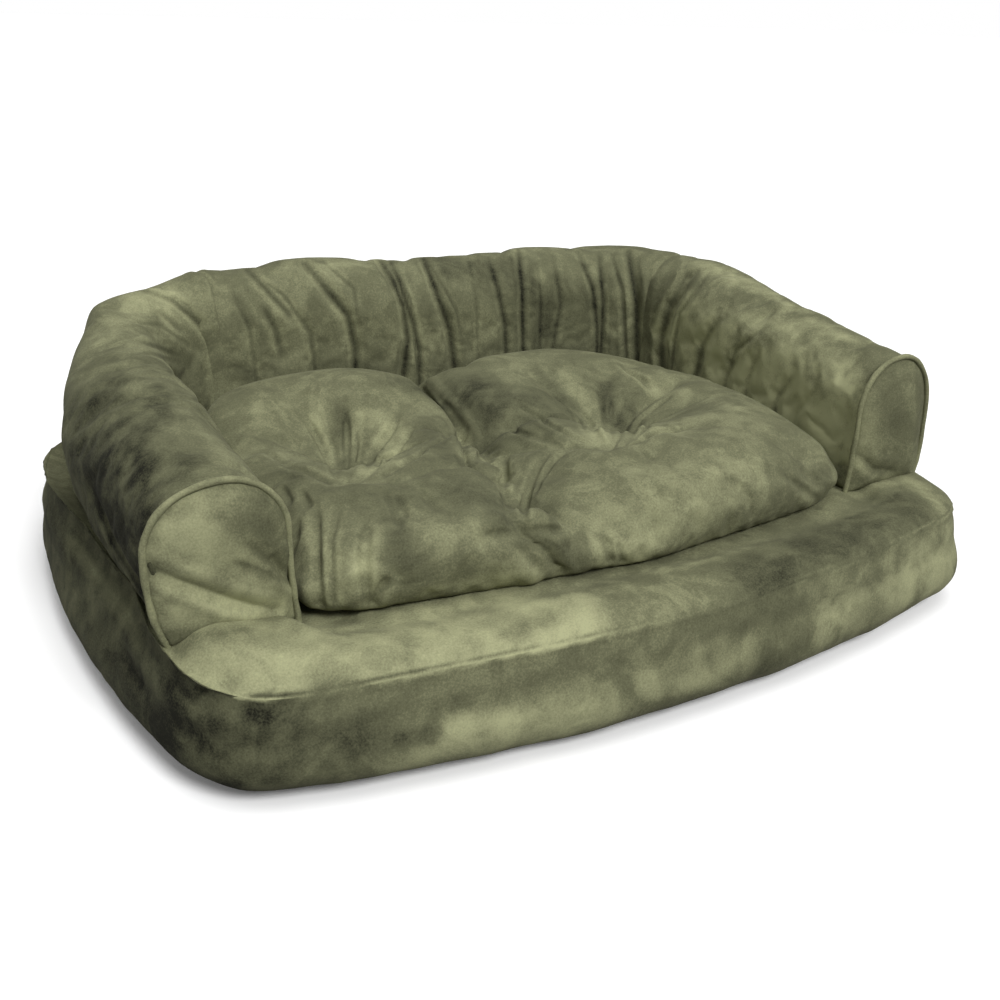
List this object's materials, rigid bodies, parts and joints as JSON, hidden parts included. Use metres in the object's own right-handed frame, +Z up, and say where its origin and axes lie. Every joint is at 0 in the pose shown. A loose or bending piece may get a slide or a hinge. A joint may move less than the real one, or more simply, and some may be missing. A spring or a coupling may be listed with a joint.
{
  "type": "dog sofa bed",
  "caption": "Sofa-shaped dog bed: a padded base, a roll-arm bolster round three sides with piped arm fronts, and a loose tufted seat cushion.",
  "frame": {"origin": "centre of the footprint, on the floor", "axes": "+X to the right seen from the front, +Y towards the back rest, +Z up"},
  "size_m": [1.0196, 0.7758, 0.3472],
  "materials": {
    "olive_suede": "brushed microsuede",
    "suede_piping": "microsuede-covered cord",
    "polyester_filling": "loose fibre",
    "tuft_twine": "waxed twine",
    "zip_tape": "woven tape with nylon coil",
    "zip_metal": "enamelled to match the cloth"
  },
  "bodies": {
    "base": {"base_bottom_panel": "olive_suede", "base_side_band": "olive_suede", "base_top_panel": "olive_suede", "base_filling": "polyester_filling", "left_arm_cover": "olive_suede", "left_arm_filling": "polyester_filling", "left_arm_facing": "olive_suede", "left_arm_piping": "suede_piping", "right_arm_cover": "olive_suede", "right_arm_filling": "polyester_filling", "right_arm_facing": "olive_suede", "right_arm_piping": "suede_piping", "back_cover": "olive_suede", "back_filling": "polyester_filling", "base_zip_tape": "zip_tape", "base_zip_coil": "zip_tape", "base_zip_stops": "zip_metal"},
    "cushion": {"cushion_top_cover": "olive_suede", "cushion_bottom_cover": "olive_suede", "cushion_filling": "polyester_filling", "left_tuft_tie": "tuft_twine", "centre_tuft_tie": "tuft_twine", "front_tuft_tie": "tuft_twine", "right_tuft_tie": "tuft_twine"},
    "zip_slider": {"base_zip_slider": "zip_metal"},
    "zip_pull": {"base_zip_pull": "zip_metal"}
  },
  "joints": [
    {"name": "cushion_lift", "type": "slide", "parent": "base", "child": "cushion", "axis": [0, 0, 1], "range_m": [0, 0.28]},
    {"name": "base_zip_slide", "type": "slide", "parent": "base", "child": "zip_slider", "axis": [-1, 0, 0], "range_m": [0, 0.42]},
    {"name": "base_zip_pull_hinge", "type": "hinge", "parent": "zip_slider", "child": "zip_pull", "pos_m": [0.2107, 0.3877, 0.044], "axis": [0, 0, 1], "range_deg": [0, 170]}
  ]
}
